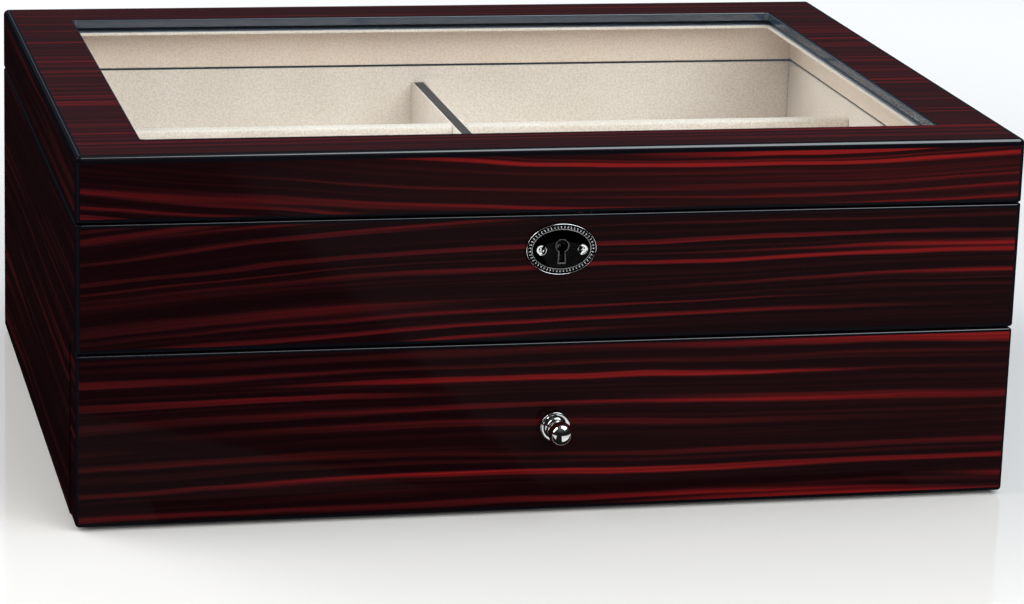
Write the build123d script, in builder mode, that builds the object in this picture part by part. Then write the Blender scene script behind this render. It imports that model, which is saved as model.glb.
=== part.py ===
from build123d import *
import math
import os

# Glasses box with a glazed lid above a divided tray, and a divided drawer under the tray.
# Millimetres, +Z up, +X to the right, and the front faces -Y. The origin is the middle of the
# box's footprint, on the surface that it stands on.

# Outside of the box
BOX_WIDTH = 340.0
BOX_DEPTH = 265.0
FELT_THICK = 1.0
DRAWER_FRONT_LIFT = 0.5
DRAWER_FRONT_HEIGHT = 62.0
FRONT_RAIL_HEIGHT = 45.75
LID_HEIGHT = 23.35
SEAM = 0.5
CORNER_R = 2.2
LID_TOP_R = 2.0
RIM_R = 0.8
FOOT_R = 1.5
DRAWER_FRONT_CORNER_R = 1.4
DRAWER_FRONT_R = 1.2

# Boards of the case
WALL = 8.5
SHELF_THICK = 4.0
BOTTOM_THICK = 5.0
FELT_INSET = 3.5
STOP_STRIP_WIDTH = 8.0
STOP_STRIP_END_GAP = 25.0

# Velvet lining and dividers
LINING = 1.5
LINING_RIM_DROP = 0.2
FLOOR_LINING = 2.0
DIVIDER_THICK = 6.0
DIVIDER_RIM_DROP = 6.6
CROSS_DIVIDERS = ("front", "rear")

# Lid
WINDOW_BORDER = 25.5
WINDOW_CORNER_R = 1.5
WINDOW_EDGE_R = 0.6
FRAME_LIP = 3.2
GLASS_THICK = 2.0
GLASS_SEAT = 8.0
GLASS_CLEARANCE = 0.3
RETAINER_THICK = 1.2

# Drawer
DRAWER_FRONT_THICK = 16.0
DRAWER_FRONT_SIDE_INSET = 0.4
DRAWER_WALL = 8.0
DRAWER_BOTTOM_THICK = 3.0
DRAWER_SIDE_GAP = 0.8
DRAWER_RUN_GAP = 0.3
DRAWER_BACK_GAP = 2.0
DRAWER_SIDE_DROP = 4.0
DRAWER_BACK_DROP = 0.8
DRAWER_HELD = 43.5
FRONT_BACK_GAP = 0.3

# Knob
KNOB_FLANGE_R = 5.5
KNOB_FLANGE_THICK = 1.6
KNOB_FLANGE_EDGE_R = 0.6
KNOB_COVE_R = 4.4
KNOB_COVE_LENGTH = 2.6
KNOB_NECK_R = 2.7
KNOB_BALL_R = 4.35
KNOB_BALL_REACH = 9.4
KNOB_HOLE_DEPTH = 7.0
KNOB_SCREW_R = 1.5
KNOB_SCREW_HEAD_R = 3.2
KNOB_SCREW_HEAD_THICK = 2.2
KNOB_COUNTERBORE_R = 3.8
KNOB_COUNTERBORE_DEPTH = 3.0

# Hinges
HINGE_LENGTH = 38.0
HINGE_INSET = 62.0
HINGE_SCREW_SPACING = 13.5
HINGE_KNUCKLE_R = 2.5
HINGE_STANDOFF = 0.2
HINGE_PIN_R = 1.0
HINGE_PIN_CLEARANCE = 0.05
HINGE_PIN_HEAD_R = 1.7
HINGE_PIN_HEAD_THICK = 0.8
HINGE_KNUCKLE_GAP = 0.2
HINGE_LEAF_THICK = 1.0
HINGE_LEAF_MARGIN = 1.5
HINGE_STOP_REACH = 2.2
HINGE_STOP_THICK = 1.0
LID_OPENING_ANGLE = 95.0
LID_STOP_SLACK = 0.5

# Gaps: a let-in piece in its pocket, a loose fit between pieces, and how far a cutter overruns
FIT = 0.1
PART_GAP = 0.3
OVERRUN = 1.0

# Small countersunk screws of the hinges, the lock and the strike
SCREW_R = 0.9
SCREW_HEAD_R = 1.7
SCREW_HEAD_DEPTH = 0.8
SCREW_LENGTH = 7.0
SCREW_SIDE_GAP = 0.05

# Lock
LOCK_CENTRE_DROP = 12.25
LOCK_DEPTH = 4.6
LOCK_BELOW_KEYHOLE = 2.35
LOCK_SHELL = 0.9
LOCK_END_GAP = 0.4
LOCK_PLATE_EAR = 7.0
LOCK_PLATE_DEPTH = 6.0
LOCK_PLATE_THICK = 1.2
LOCK_POST_R = 1.0
KEYHOLE_R = 1.9
KEYHOLE_SLOT_WIDTH = 1.7
KEYHOLE_SLOT_LENGTH = 4.6
BOLT_THICK = 2.0
BOLT_BODY_LENGTH = 8.0
BOLT_BODY_HEIGHT = 4.6
BOLT_NOSE_HEIGHT = 2.3
BOLT_TALON_R = 1.5
BOLT_THROW = 3.3
BOLT_END_GAP = 0.5
BOLT_TOP_GAP = 2.9
HOOK_X = 5.0
HOOK_STEM_WIDTH = 2.4
HOOK_THICK = 1.6
HOOK_FOOT_HEIGHT = 1.7
HOOK_GAP = 0.3
STRIKE_PLATE_EAR = 7.0

# Escutcheon
ESCUTCHEON_WIDTH = 25.4
ESCUTCHEON_HEIGHT = 18.5
ESCUTCHEON_RIM_THICK = 1.3
ESCUTCHEON_FIELD_THICK = 1.9
ESCUTCHEON_RIM_WIDTH = 2.0
ESCUTCHEON_EDGE_R = 0.5
ESCUTCHEON_SCREW_SPREAD = 14.4
ESCUTCHEON_SCREW_R = 0.7
ESCUTCHEON_SCREW_HEAD_R = 1.5
ESCUTCHEON_SCREW_HEAD_THICK = 0.6
ESCUTCHEON_SCREW_TIP_GAP = 1.1

# Levels and planes that follow from the sizes above
half_width = BOX_WIDTH / 2
half_depth = BOX_DEPTH / 2
case_base = FELT_THICK
drawer_front_base = case_base + DRAWER_FRONT_LIFT
drawer_front_top = drawer_front_base + DRAWER_FRONT_HEIGHT
rail_base = drawer_front_top + SEAM
case_top = rail_base + FRONT_RAIL_HEIGHT
lid_base = case_top + SEAM
lid_top = lid_base + LID_HEIGHT
frame_base = lid_top - FRAME_LIP - GLASS_THICK
glass_top = lid_top - FRAME_LIP
shelf_top = rail_base + SHELF_THICK
bottom_top = case_base + BOTTOM_THICK
inner_x = half_width - WALL
inner_y = half_depth - WALL
window_x = half_width - WINDOW_BORDER
window_y = half_depth - WINDOW_BORDER
divider_half = DIVIDER_THICK / 2

drawer_front_back = -half_depth + DRAWER_FRONT_THICK
drawer_side_x = inner_x - DRAWER_SIDE_GAP
drawer_inner_x = drawer_side_x - DRAWER_WALL
drawer_back_outer = inner_y - DRAWER_BACK_GAP
drawer_back_inner = drawer_back_outer - DRAWER_WALL
drawer_base = bottom_top + DRAWER_RUN_GAP
drawer_bottom_top = drawer_base + DRAWER_BOTTOM_THICK
drawer_side_top = rail_base - DRAWER_SIDE_DROP
drawer_back_top = rail_base - DRAWER_BACK_DROP
drawer_travel = drawer_back_outer - drawer_front_back - DRAWER_HELD
knob_z = (drawer_front_base + drawer_front_top) / 2

hinge_y = half_depth + HINGE_STANDOFF + HINGE_KNUCKLE_R
hinge_z = (case_top + lid_base) / 2
hinge_leaf_y = half_depth - WALL + HINGE_LEAF_MARGIN
hinge_xs = {"left": -half_width + HINGE_INSET, "right": half_width - HINGE_INSET}
knuckle_length = (HINGE_LENGTH - 2 * HINGE_KNUCKLE_GAP) / 3
hinge_screw_y = (hinge_leaf_y + half_depth) / 2

keyhole_z = case_top - LOCK_CENTRE_DROP
lock_back = -inner_y
lock_front = lock_back - LOCK_DEPTH
lock_mid_y = (lock_back + lock_front) / 2
lock_plate_front = lock_back - LOCK_PLATE_DEPTH
lock_plate_base = case_top - LOCK_PLATE_THICK
lock_base = keyhole_z - KEYHOLE_SLOT_LENGTH - LOCK_BELOW_KEYHOLE
lock_screw_y = (lock_back + lock_plate_front) / 2
hook_foot_left = HOOK_X - HOOK_STEM_WIDTH / 2 - BOLT_THROW + HOOK_GAP
bolt_nose_right = hook_foot_left - BOLT_END_GAP
bolt_body_right = bolt_nose_right - BOLT_THROW + HOOK_GAP
bolt_body_left = bolt_body_right - BOLT_BODY_LENGTH
lock_cavity_x = LOCK_END_GAP - bolt_body_left
lock_half_width = lock_cavity_x + LOCK_SHELL
lock_screw_x = lock_half_width + LOCK_PLATE_EAR / 2 - PART_GAP
hook_right = HOOK_X + HOOK_STEM_WIDTH / 2
strike_half_width = hook_right + STRIKE_PLATE_EAR
strike_screw_x = hook_right + STRIKE_PLATE_EAR / 2 - PART_GAP
escutcheon_screw_bite = WALL - LOCK_DEPTH - FIT - ESCUTCHEON_SCREW_TIP_GAP
bolt_top = lock_plate_base - BOLT_TOP_GAP
bolt_base = bolt_top - BOLT_BODY_HEIGHT
bolt_nose_base = bolt_top - BOLT_NOSE_HEIGHT
hook_foot_top = bolt_nose_base - HOOK_GAP
hook_base = hook_foot_top - HOOK_FOOT_HEIGHT
screw_hole_r = SCREW_R + SCREW_SIDE_GAP


def save(part, name):
    part.label = name
    export_step(part, "parts/" + name + ".step")


def board(low, high):
    """A rectangular board between two opposite corners."""
    x0, y0, z0 = low
    x1, y1, z1 = high
    with BuildPart() as piece:
        with BuildSketch(Plane.XY.offset(z0)):
            with Locations(((x0 + x1) / 2, (y0 + y1) / 2)):
                Rectangle(x1 - x0, y1 - y0)
        extrude(amount=z1 - z0)
    return piece


def mitre(x_sign, y_sign):
    """The upright plane through one corner of the box; its normal points along the front or
    back, away from the corner."""
    corner = (x_sign * half_width, y_sign * half_depth, 0)
    return Plane(origin=corner, z_dir=(-x_sign, y_sign, 0))


def ring_board(ring, side):
    """One mitred board of a four-sided ring."""
    with BuildPart() as piece:
        add(ring.part)
        if side in ("front", "back"):
            y_sign = -1 if side == "front" else 1
            for x_sign in (-1, 1):
                split(bisect_by=mitre(x_sign, y_sign), keep=Keep.TOP)
        else:
            x_sign = -1 if side == "left" else 1
            for y_sign in (-1, 1):
                split(bisect_by=mitre(x_sign, y_sign), keep=Keep.BOTTOM)
    return piece


def keyhole_outline():
    """Keyhole outline in the current sketch, centred on the round part."""
    Circle(KEYHOLE_R)
    with Locations((0, -KEYHOLE_SLOT_LENGTH / 2)):
        Rectangle(KEYHOLE_SLOT_WIDTH, KEYHOLE_SLOT_LENGTH)


def front_plane(y, z):
    """A sketch plane that faces the front, centred on the box, with +Z as its up."""
    return Plane(origin=(0, y, z), x_dir=(1, 0, 0), z_dir=(0, -1, 0))


# Screw sets: each set is one group of equal screws, let in flush
def countersunk_screw():
    """A screw with its flat head at the origin and its tip on -Z."""
    with BuildPart() as screw:
        with BuildSketch(Plane.XZ):
            with BuildLine():
                Polyline(
                    (0, 0),
                    (SCREW_HEAD_R, 0),
                    (SCREW_R, -SCREW_HEAD_DEPTH),
                    (SCREW_R, -SCREW_LENGTH + SCREW_R),
                    (0, -SCREW_LENGTH),
                    close=True,
                )
            make_face()
        revolve(axis=Axis.Z)
    return screw


def countersink(thickness):
    """A countersunk hole through a plate of this thickness, for one of the small screws."""
    head_angle = 2 * math.degrees(math.atan2(SCREW_HEAD_R - SCREW_R, SCREW_HEAD_DEPTH))
    CounterSinkHole(
        screw_hole_r,
        SCREW_HEAD_R + SCREW_SIDE_GAP,
        depth=thickness + FIT,
        counter_sink_angle=head_angle,
    )


hinge_screw_points = [
    (hinge_x + dx, hinge_screw_y)
    for hinge_x in hinge_xs.values()
    for dx in (-HINGE_SCREW_SPACING, 0, HINGE_SCREW_SPACING)
]
lock_screw_points = [(sign * lock_screw_x, lock_screw_y) for sign in (-1, 1)]
strike_screw_points = [(sign * strike_screw_x, lock_screw_y) for sign in (-1, 1)]


def case_screw_holes(points):
    """Holes down into the case's rim for the small screws."""
    for x, y in points:
        with Locations(Location((x, y, case_top))):
            Hole(screw_hole_r, depth=SCREW_LENGTH + PART_GAP)


def lid_screw_holes(points):
    """Holes up into the lid's rim for the small screws."""
    for x, y in points:
        with Locations(Location((x, y, lid_base), (180, 0, 0))):
            Hole(screw_hole_r, depth=SCREW_LENGTH + PART_GAP)


# The case, cut from one rounded block so that its boards line up
def make_case_ring():
    with BuildPart() as ring:
        with BuildSketch(Plane.XY.offset(case_base)):
            RectangleRounded(BOX_WIDTH, BOX_DEPTH, CORNER_R)
        extrude(amount=case_top - case_base)
        fillet(ring.faces().sort_by(Axis.Z)[-1].edges(), RIM_R)
        fillet(ring.faces().sort_by(Axis.Z)[0].edges(), FOOT_R)
        with BuildSketch(Plane.XY.offset(case_base - OVERRUN)):
            with Locations((0, -half_depth)):
                Rectangle(BOX_WIDTH + OVERRUN, 2 * (DRAWER_FRONT_THICK + FRONT_BACK_GAP))
        extrude(amount=rail_base - case_base + OVERRUN, mode=Mode.SUBTRACT)
        rail_underside = ring.faces().filter_by(Plane.XY).sort_by(Axis.Y)[0]
        outer_edges = rail_underside.edges().sort_by(Axis.Y)[:-1]
        fillet(outer_edges, RIM_R)
        with BuildSketch(Plane.XY.offset(case_base - OVERRUN)):
            Rectangle(2 * inner_x, 2 * inner_y)
        extrude(amount=case_top - case_base + 2 * OVERRUN, mode=Mode.SUBTRACT)
    return ring


def make_case_boards():
    ring = make_case_ring()
    for side in ("left", "right"):
        save(ring_board(ring, side).part, "case_" + side + "_side")
    make_case_back(ring)
    make_front_rail(ring)


def hinge_leaf_pocket(z, thickness):
    """Cut the let-in pockets of both hinge leaves, from level z through the given thickness."""
    reach = HINGE_KNUCKLE_R
    for hinge_x in hinge_xs.values():
        with BuildSketch(Plane.XY.offset(z)) as pocket:
            with Locations((hinge_x, (hinge_leaf_y - FIT + half_depth + reach) / 2)):
                Rectangle(HINGE_LENGTH + 2 * FIT, half_depth + reach - hinge_leaf_y + FIT)
        extrude(pocket.sketch, amount=thickness, mode=Mode.SUBTRACT)


def make_case_back(ring):
    mitred = ring_board(ring, "back")
    with BuildPart() as back:
        add(mitred.part)
        hinge_leaf_pocket(case_top - HINGE_LEAF_THICK, HINGE_LEAF_THICK + OVERRUN)
        case_screw_holes(hinge_screw_points)
    save(back.part, "case_back")


def inner_face_pocket(low, high, half, depth):
    """Cut a pocket into the inner face of the board at the front, centred on the keyhole."""
    front = lock_back - depth - FIT
    back = lock_back + OVERRUN
    with BuildSketch(Plane.XY.offset(low)) as pocket:
        with Locations((0, (front + back) / 2)):
            Rectangle(2 * (half + FIT), back - front)
    extrude(pocket.sketch, amount=high - low, mode=Mode.SUBTRACT)


def make_front_rail(ring):
    mitred = ring_board(ring, "front")
    with BuildPart() as rail:
        add(mitred.part)
        inner_face_pocket(lock_base - FIT, case_top + OVERRUN, lock_half_width, LOCK_DEPTH)
        plate_half = lock_half_width + LOCK_PLATE_EAR
        inner_face_pocket(lock_plate_base, case_top + OVERRUN, plate_half, LOCK_PLATE_DEPTH)
        case_screw_holes(lock_screw_points)
        with BuildSketch(front_plane(-half_depth, keyhole_z)):
            keyhole_outline()
        extrude(amount=-WALL, mode=Mode.SUBTRACT)
        escutcheon_screw_holes(-half_depth, escutcheon_screw_bite + PART_GAP)
    save(rail.part, "case_front_rail")


def make_case_inside():
    shelf = board((-inner_x, -inner_y, rail_base), (inner_x, inner_y, shelf_top))
    save(shelf.part, "case_shelf")
    bottom_front = drawer_front_back + FRONT_BACK_GAP
    bottom = board((-inner_x, bottom_front, case_base), (inner_x, inner_y, bottom_top))
    save(bottom.part, "case_bottom")
    felt = board(
        (-half_width + FELT_INSET, bottom_front, 0),
        (half_width - FELT_INSET, half_depth - FELT_INSET, FELT_THICK),
    )
    save(felt.part, "base_felt")
    strip_back = drawer_back_inner - drawer_travel - PART_GAP
    strip_half = drawer_inner_x - STOP_STRIP_END_GAP
    strip = board(
        (-strip_half, strip_back - STOP_STRIP_WIDTH, drawer_side_top + DRAWER_BACK_DROP),
        (strip_half, strip_back, rail_base),
    )
    save(strip.part, "drawer_stop_strip")


# Velvet lining: four wall pieces, a floor and the dividers, for the tray and for the drawer
def lined_bay(prefix, bay, floor, wall_top, divider_top):
    """bay is the inside of the walls as (x0, x1, y0, y1); floor is the level under the lining."""
    x0, x1, y0, y1 = bay
    floor_top = floor + FLOOR_LINING
    in_x0 = x0 + LINING
    in_x1 = x1 - LINING
    in_y0 = y0 + LINING
    in_y1 = y1 - LINING
    save(board((x0, y0, floor), (x1, y1, floor_top)).part, prefix + "_floor_lining")
    save(board((x0, y0, floor_top), (in_x0, y1, wall_top)).part, prefix + "_lining_left")
    save(board((in_x1, y0, floor_top), (x1, y1, wall_top)).part, prefix + "_lining_right")
    save(board((in_x0, y0, floor_top), (in_x1, in_y0, wall_top)).part, prefix + "_lining_front")
    save(board((in_x0, in_y1, floor_top), (in_x1, y1, wall_top)).part, prefix + "_lining_back")
    centre = board((-divider_half, in_y0, floor_top), (divider_half, in_y1, divider_top))
    save(centre.part, prefix + "_centre_divider")
    cross_count = len(CROSS_DIVIDERS)
    row = (in_y1 - in_y0 - cross_count * DIVIDER_THICK) / (cross_count + 1)
    columns = {"left": (in_x0, -divider_half), "right": (divider_half, in_x1)}
    for index, place in enumerate(CROSS_DIVIDERS):
        near = in_y0 + row + index * (row + DIVIDER_THICK)
        for side, (low_x, high_x) in columns.items():
            cross = board((low_x, near, floor_top), (high_x, near + DIVIDER_THICK, divider_top))
            save(cross.part, prefix + "_cross_divider_" + place + "_" + side)


def make_tray():
    lined_bay(
        "tray",
        (-inner_x, inner_x, -inner_y, inner_y),
        shelf_top,
        case_top - LINING_RIM_DROP,
        case_top - DIVIDER_RIM_DROP,
    )


# The lid, cut from one rounded block like the case
def make_lid_ring():
    with BuildPart() as ring:
        with BuildSketch(Plane.XY.offset(lid_base)):
            RectangleRounded(BOX_WIDTH, BOX_DEPTH, CORNER_R)
        extrude(amount=LID_HEIGHT)
        fillet(ring.faces().sort_by(Axis.Z)[-1].edges(), LID_TOP_R)
        fillet(ring.faces().sort_by(Axis.Z)[0].edges(), RIM_R)
    return ring


def make_lid_rails(block):
    with BuildPart() as ring:
        add(block.part)
        split(bisect_by=Plane.XY.offset(frame_base), keep=Keep.BOTTOM)
        with BuildSketch(Plane.XY.offset(lid_base - OVERRUN)):
            Rectangle(2 * inner_x, 2 * inner_y)
        extrude(amount=LID_HEIGHT, mode=Mode.SUBTRACT)
    for side in ("left", "right"):
        save(ring_board(ring, side).part, "lid_" + side + "_rail")
    mitred_back = ring_board(ring, "back")
    with BuildPart() as back:
        add(mitred_back.part)
        hinge_leaf_pocket(lid_base - OVERRUN, HINGE_LEAF_THICK + OVERRUN)
        lid_screw_holes(hinge_screw_points)
    save(back.part, "lid_back_rail")
    mitred_front = ring_board(ring, "front")
    with BuildPart() as front:
        add(mitred_front.part)
        plate_top = lid_base + LOCK_PLATE_THICK
        inner_face_pocket(lid_base - OVERRUN, plate_top, strike_half_width, LOCK_PLATE_DEPTH)
        lid_screw_holes(strike_screw_points)
    save(front.part, "lid_front_rail")


def make_lid_top_frame(block):
    with BuildPart() as frame:
        add(block.part)
        split(bisect_by=Plane.XY.offset(frame_base), keep=Keep.TOP)
        with BuildSketch(Plane.XY.offset(frame_base - OVERRUN)):
            RectangleRounded(2 * window_x, 2 * window_y, WINDOW_CORNER_R)
        extrude(amount=LID_HEIGHT, mode=Mode.SUBTRACT)
        top_face = frame.faces().filter_by(Plane.XY).sort_by(Axis.Z)[-1]
        fillet(top_face.inner_wires()[0].edges(), WINDOW_EDGE_R)
        with BuildSketch(Plane.XY.offset(frame_base)):
            Rectangle(2 * (window_x + GLASS_SEAT), 2 * (window_y + GLASS_SEAT))
        extrude(amount=GLASS_THICK, mode=Mode.SUBTRACT)
    save(frame.part, "lid_top_frame")


def make_glazing():
    glass_x = window_x + GLASS_SEAT - GLASS_CLEARANCE
    glass_y = window_y + GLASS_SEAT - GLASS_CLEARANCE
    glass = board((-glass_x, -glass_y, frame_base), (glass_x, glass_y, glass_top))
    save(glass.part, "lid_glass")
    with BuildPart() as retainer:
        with BuildSketch(Plane.XY.offset(frame_base - RETAINER_THICK)):
            Rectangle(2 * inner_x, 2 * inner_y)
            RectangleRounded(2 * window_x, 2 * window_y, WINDOW_CORNER_R, mode=Mode.SUBTRACT)
        extrude(amount=RETAINER_THICK)
    save(retainer.part, "glass_retainer")
    low = lid_base + LINING_RIM_DROP
    high = frame_base - RETAINER_THICK
    for side, sign in (("left", -1), ("right", 1)):
        xs = sorted((sign * inner_x, sign * (inner_x - LINING)))
        lining = board((xs[0], -inner_y, low), (xs[1], inner_y, high))
        save(lining.part, "lid_lining_" + side)
    end_x = inner_x - LINING
    for side, sign in (("front", -1), ("back", 1)):
        ys = sorted((sign * inner_y, sign * (inner_y - LINING)))
        lining = board((-end_x, ys[0], low), (end_x, ys[1], high))
        save(lining.part, "lid_lining_" + side)


# The drawer: a thick overlay front with a lighter box behind it
def make_drawer_front():
    front_width = BOX_WIDTH - 2 * DRAWER_FRONT_SIDE_INSET
    with BuildPart() as front:
        with BuildSketch(front_plane(-half_depth, knob_z)):
            RectangleRounded(front_width, DRAWER_FRONT_HEIGHT, DRAWER_FRONT_CORNER_R)
        extrude(amount=-DRAWER_FRONT_THICK)
        fillet(front.faces().sort_by(Axis.Y)[0].edges(), DRAWER_FRONT_R)
        with Locations(Location((0, drawer_front_back, knob_z), (-90, 0, 0))):
            CounterBoreHole(
                KNOB_SCREW_R + SCREW_SIDE_GAP, KNOB_COUNTERBORE_R, KNOB_COUNTERBORE_DEPTH
            )
    save(front.part, "drawer_front")


def make_drawer_box():
    for side, sign in (("left", -1), ("right", 1)):
        xs = sorted((sign * drawer_side_x, sign * drawer_inner_x))
        side_board = board(
            (xs[0], drawer_front_back, drawer_base),
            (xs[1], drawer_back_outer, drawer_side_top),
        )
        save(side_board.part, "drawer_" + side + "_side")
    back = board(
        (-drawer_inner_x, drawer_back_inner, drawer_base),
        (drawer_inner_x, drawer_back_outer, drawer_back_top),
    )
    save(back.part, "drawer_back")
    bottom = board(
        (-drawer_inner_x, drawer_front_back, drawer_base),
        (drawer_inner_x, drawer_back_inner, drawer_bottom_top),
    )
    save(bottom.part, "drawer_bottom")
    lined_bay(
        "drawer",
        (-drawer_inner_x, drawer_inner_x, drawer_front_back, drawer_back_inner),
        drawer_bottom_top,
        drawer_side_top - LINING_RIM_DROP,
        drawer_side_top - DIVIDER_RIM_DROP,
    )


def make_knob():
    """The knob's profile is drawn as radius against reach, and turned about the Y direction."""
    ball_start = KNOB_BALL_REACH - math.sqrt(KNOB_BALL_R**2 - KNOB_NECK_R**2)
    flange_side = KNOB_FLANGE_THICK - KNOB_FLANGE_EDGE_R
    flange_face = KNOB_FLANGE_R - KNOB_FLANGE_EDGE_R
    cove_end = KNOB_FLANGE_THICK + KNOB_COVE_LENGTH
    profile = Plane(origin=(0, -half_depth, knob_z), x_dir=(1, 0, 0), z_dir=(0, 0, -1))
    with BuildPart() as knob:
        with BuildSketch(profile):
            with BuildLine():
                Polyline((0, 0), (KNOB_FLANGE_R, 0), (KNOB_FLANGE_R, flange_side))
                TangentArc(
                    (KNOB_FLANGE_R, flange_side),
                    (flange_face, KNOB_FLANGE_THICK),
                    tangent=(0, 1),
                )
                Line((flange_face, KNOB_FLANGE_THICK), (KNOB_COVE_R, KNOB_FLANGE_THICK))
                TangentArc(
                    (KNOB_NECK_R, cove_end),
                    (KNOB_COVE_R, KNOB_FLANGE_THICK),
                    tangent=(0, -1),
                )
                Line((KNOB_NECK_R, cove_end), (KNOB_NECK_R, ball_start))
                ThreePointArc(
                    (KNOB_NECK_R, ball_start),
                    (KNOB_BALL_R, KNOB_BALL_REACH),
                    (0, KNOB_BALL_REACH + KNOB_BALL_R),
                )
                Line((0, KNOB_BALL_REACH + KNOB_BALL_R), (0, 0))
            make_face()
        revolve(axis=Axis(origin=(0, -half_depth, knob_z), direction=(0, 1, 0)))
        with Locations(Location((0, -half_depth, knob_z), (-90, 0, 0))):
            Hole(KNOB_SCREW_R, depth=KNOB_HOLE_DEPTH)
    save(knob.part, "drawer_knob")
    head_face = drawer_front_back - KNOB_COUNTERBORE_DEPTH
    shank = DRAWER_FRONT_THICK - KNOB_COUNTERBORE_DEPTH + KNOB_HOLE_DEPTH - PART_GAP
    with BuildPart() as screw:
        with BuildSketch(front_plane(head_face, knob_z)):
            Circle(KNOB_SCREW_R)
        extrude(amount=shank)
        with BuildSketch(front_plane(head_face, knob_z)):
            Circle(KNOB_SCREW_HEAD_R)
        extrude(amount=-KNOB_SCREW_HEAD_THICK)
    save(screw.part, "knob_screw")


# The hinges: leaves let into the rims, knuckles behind the back, and heels that stop the lid
def hinge_profile_plane(x, tilt=0):
    """A sketch plane across the hinge axis. Its local x points back, and up by tilt degrees."""
    turn = math.radians(tilt)
    local_x = (0, math.cos(turn), math.sin(turn))
    return Plane(origin=(x, hinge_y, hinge_z), x_dir=local_x, z_dir=(1, 0, 0))


def hinge_heel(x_low, x_high, up, inner_r):
    """A strip outside the knuckles, whose face meets the other leaf's heel when the lid is open."""
    half_angle = (LID_OPENING_ANGLE + LID_STOP_SLACK) / 2
    tilt = half_angle if up > 0 else -half_angle
    outer_r = HINGE_KNUCKLE_R + HINGE_STOP_REACH
    offset = up * HINGE_STOP_THICK / 2
    with BuildSketch(hinge_profile_plane(x_low, tilt)) as heel:
        with Locations(((inner_r + outer_r) / 2, offset)):
            Rectangle(outer_r - inner_r, HINGE_STOP_THICK)
    extrude(heel.sketch, amount=x_high - x_low)


def knuckle_bore():
    """Take the pin's bore and its running gap out of all the knuckles."""
    with BuildSketch(hinge_profile_plane(-half_width)) as bore:
        Circle(HINGE_PIN_R + HINGE_PIN_CLEARANCE)
    extrude(bore.sketch, amount=BOX_WIDTH, mode=Mode.SUBTRACT)


def make_hinge_leaf(side, moving):
    """One leaf. The lid's leaf holds the middle knuckle, and the case's leaf the outer two."""
    up = 1 if moving else -1
    centre = hinge_xs[side]
    start = centre - HINGE_LENGTH / 2
    step = knuckle_length + HINGE_KNUCKLE_GAP
    own = (1,) if moving else (0, 2)
    other = (0, 2) if moving else (1,)
    wood_face = lid_base if moving else case_top
    leaf_low = wood_face if moving else wood_face - HINGE_LEAF_THICK
    clear_r = HINGE_KNUCKLE_R + PART_GAP
    with BuildPart() as leaf:
        with BuildSketch(Plane.XY.offset(leaf_low)):
            with Locations((centre, (hinge_leaf_y + hinge_y) / 2)):
                Rectangle(HINGE_LENGTH, hinge_y - hinge_leaf_y)
        extrude(amount=HINGE_LEAF_THICK)
        for index in other:
            with BuildSketch(hinge_profile_plane(start + index * step - HINGE_KNUCKLE_GAP)):
                Circle(clear_r)
            extrude(amount=knuckle_length + 2 * HINGE_KNUCKLE_GAP, mode=Mode.SUBTRACT)
        hinge_heel(start, start + HINGE_LENGTH, up, clear_r)
        for index in own:
            low = start + index * step
            with BuildSketch(hinge_profile_plane(low)):
                Circle(HINGE_KNUCKLE_R)
            extrude(amount=knuckle_length)
            hinge_heel(low, low + knuckle_length, up, HINGE_PIN_R + HINGE_PIN_CLEARANCE)
        knuckle_bore()
        flip = (180, 0, 0) if moving else (0, 0, 0)
        for dx in (-HINGE_SCREW_SPACING, 0, HINGE_SCREW_SPACING):
            with Locations(Location((centre + dx, hinge_screw_y, wood_face), flip)):
                countersink(HINGE_LEAF_THICK)
    name = "lid_leaf" if moving else "case_leaf"
    save(leaf.part, "hinge_" + side + "_" + name)


def make_hinge_pin(side):
    start = hinge_xs[side] - HINGE_LENGTH / 2
    with BuildPart() as pin:
        with BuildSketch(hinge_profile_plane(start)):
            Circle(HINGE_PIN_R)
        extrude(amount=HINGE_LENGTH)
        with BuildSketch(hinge_profile_plane(start)):
            Circle(HINGE_PIN_HEAD_R)
        extrude(amount=-HINGE_PIN_HEAD_THICK)
        with BuildSketch(hinge_profile_plane(start + HINGE_LENGTH)):
            Circle(HINGE_PIN_HEAD_R)
        extrude(amount=HINGE_PIN_HEAD_THICK)
    save(pin.part, "hinge_" + side + "_pin")


def make_screw_sets():
    screw = countersunk_screw()
    with BuildPart() as case_screws:
        for x, y in hinge_screw_points + lock_screw_points:
            with Locations(Location((x, y, case_top))):
                add(screw.part)
    save(case_screws.part, "case_rim_screws")
    with BuildPart() as lid_screws:
        for x, y in hinge_screw_points + strike_screw_points:
            with Locations(Location((x, y, lid_base), (180, 0, 0))):
                add(screw.part)
    save(lid_screws.part, "lid_rim_screws")


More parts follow.
